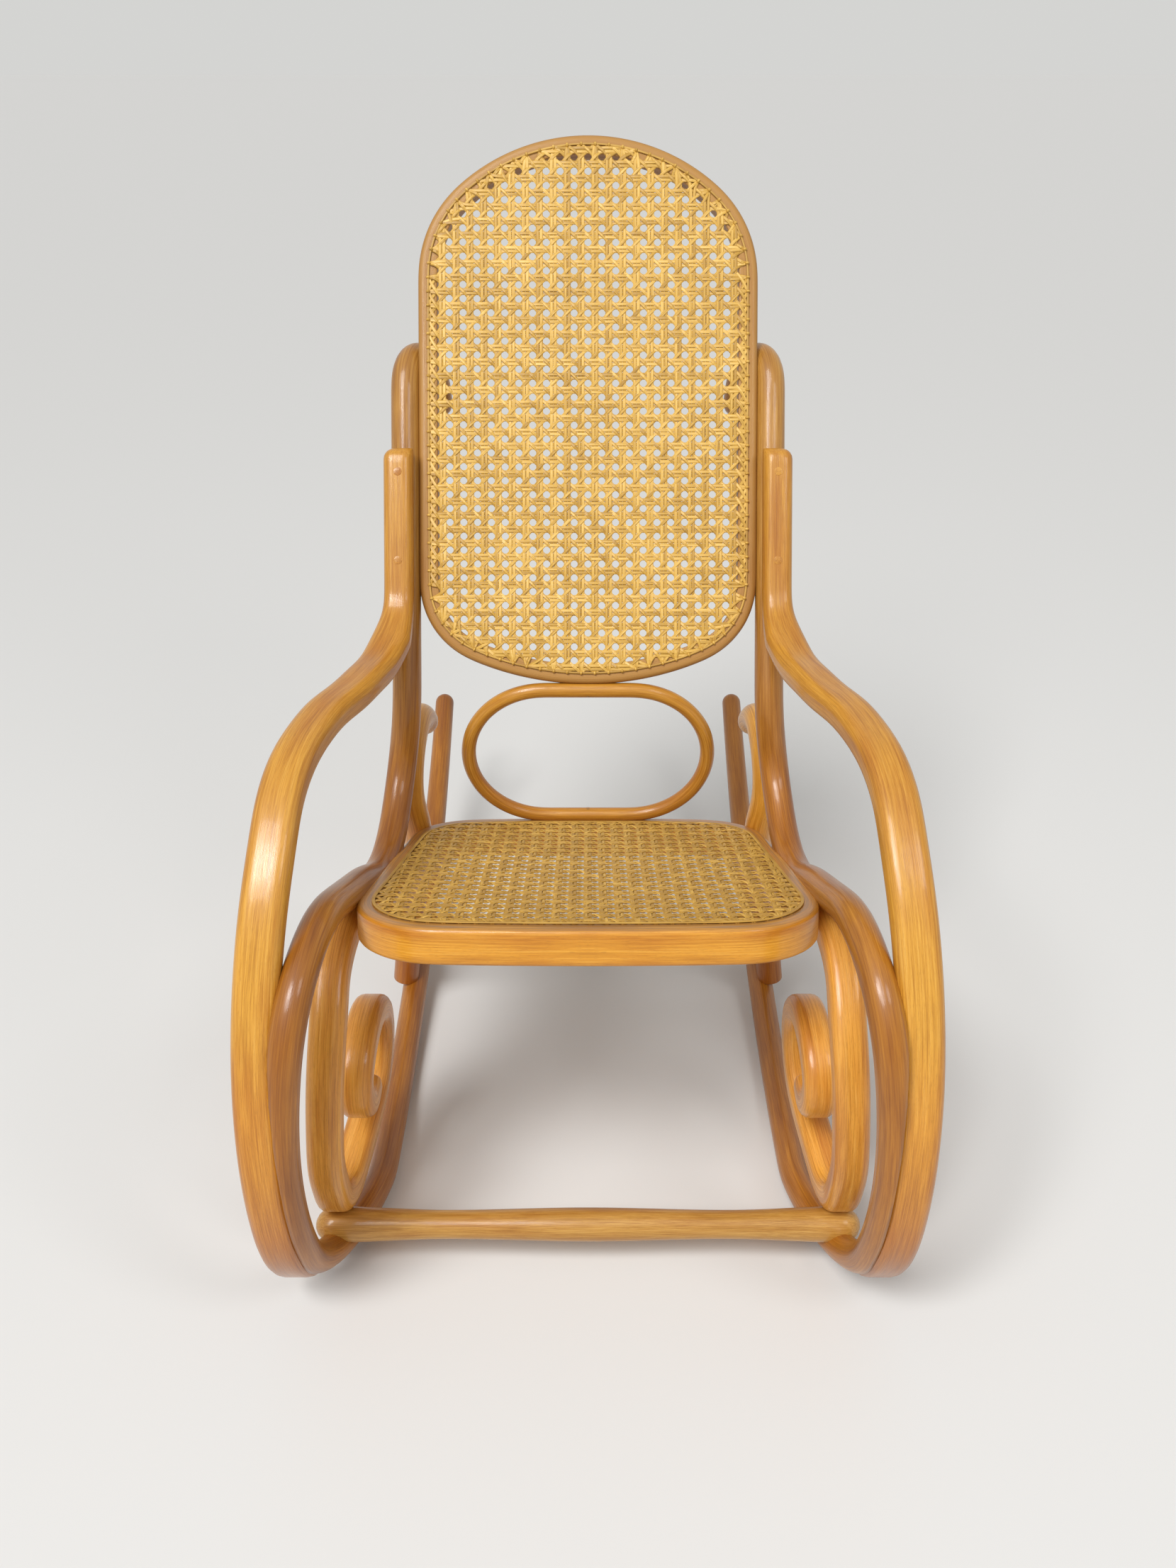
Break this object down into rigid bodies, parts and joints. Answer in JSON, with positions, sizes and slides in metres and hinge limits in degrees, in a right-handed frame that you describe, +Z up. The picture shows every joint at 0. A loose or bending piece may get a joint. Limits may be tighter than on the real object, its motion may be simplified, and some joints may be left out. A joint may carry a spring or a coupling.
{
  "type": "rocking chair",
  "caption": "Bentwood rocking chair with hand-caned seat and back, scrolled sides, an oval ring between seat and back, and round-rod runners.",
  "frame": {"origin": "on the floor, midway between the runners, where they touch it at rest", "axes": "+X to the right seen from the front, the chair faces -Y, +Z up"},
  "size_m": [0.6454, 1.112, 1.0724],
  "materials": {
    "bentwood": "glossy varnish",
    "back_wood": "satin varnish",
    "cane": "satin",
    "steel": "satin"
  },
  "bodies": {
    "root": {"seat_frame": "bentwood", "back_frame": "back_wood", "seat_cane": "cane", "back_cane": "cane", "seat_binding": "cane", "back_binding": "cane", "front_stretcher": "bentwood", "oval_ring": "bentwood", "left_side_bow": "bentwood", "left_arm": "bentwood", "left_front_scroll": "bentwood", "left_rear_leg": "bentwood", "right_side_bow": "bentwood", "right_arm": "bentwood", "right_front_scroll": "bentwood", "right_rear_leg": "bentwood", "back_screws": "steel", "seat_screws": "steel", "arm_screws": "steel", "loop_screws": "steel", "stretcher_screws": "steel", "scroll_screws": "steel", "leg_screws": "steel", "ring_screws": "steel"}
  },
  "joints": []
}
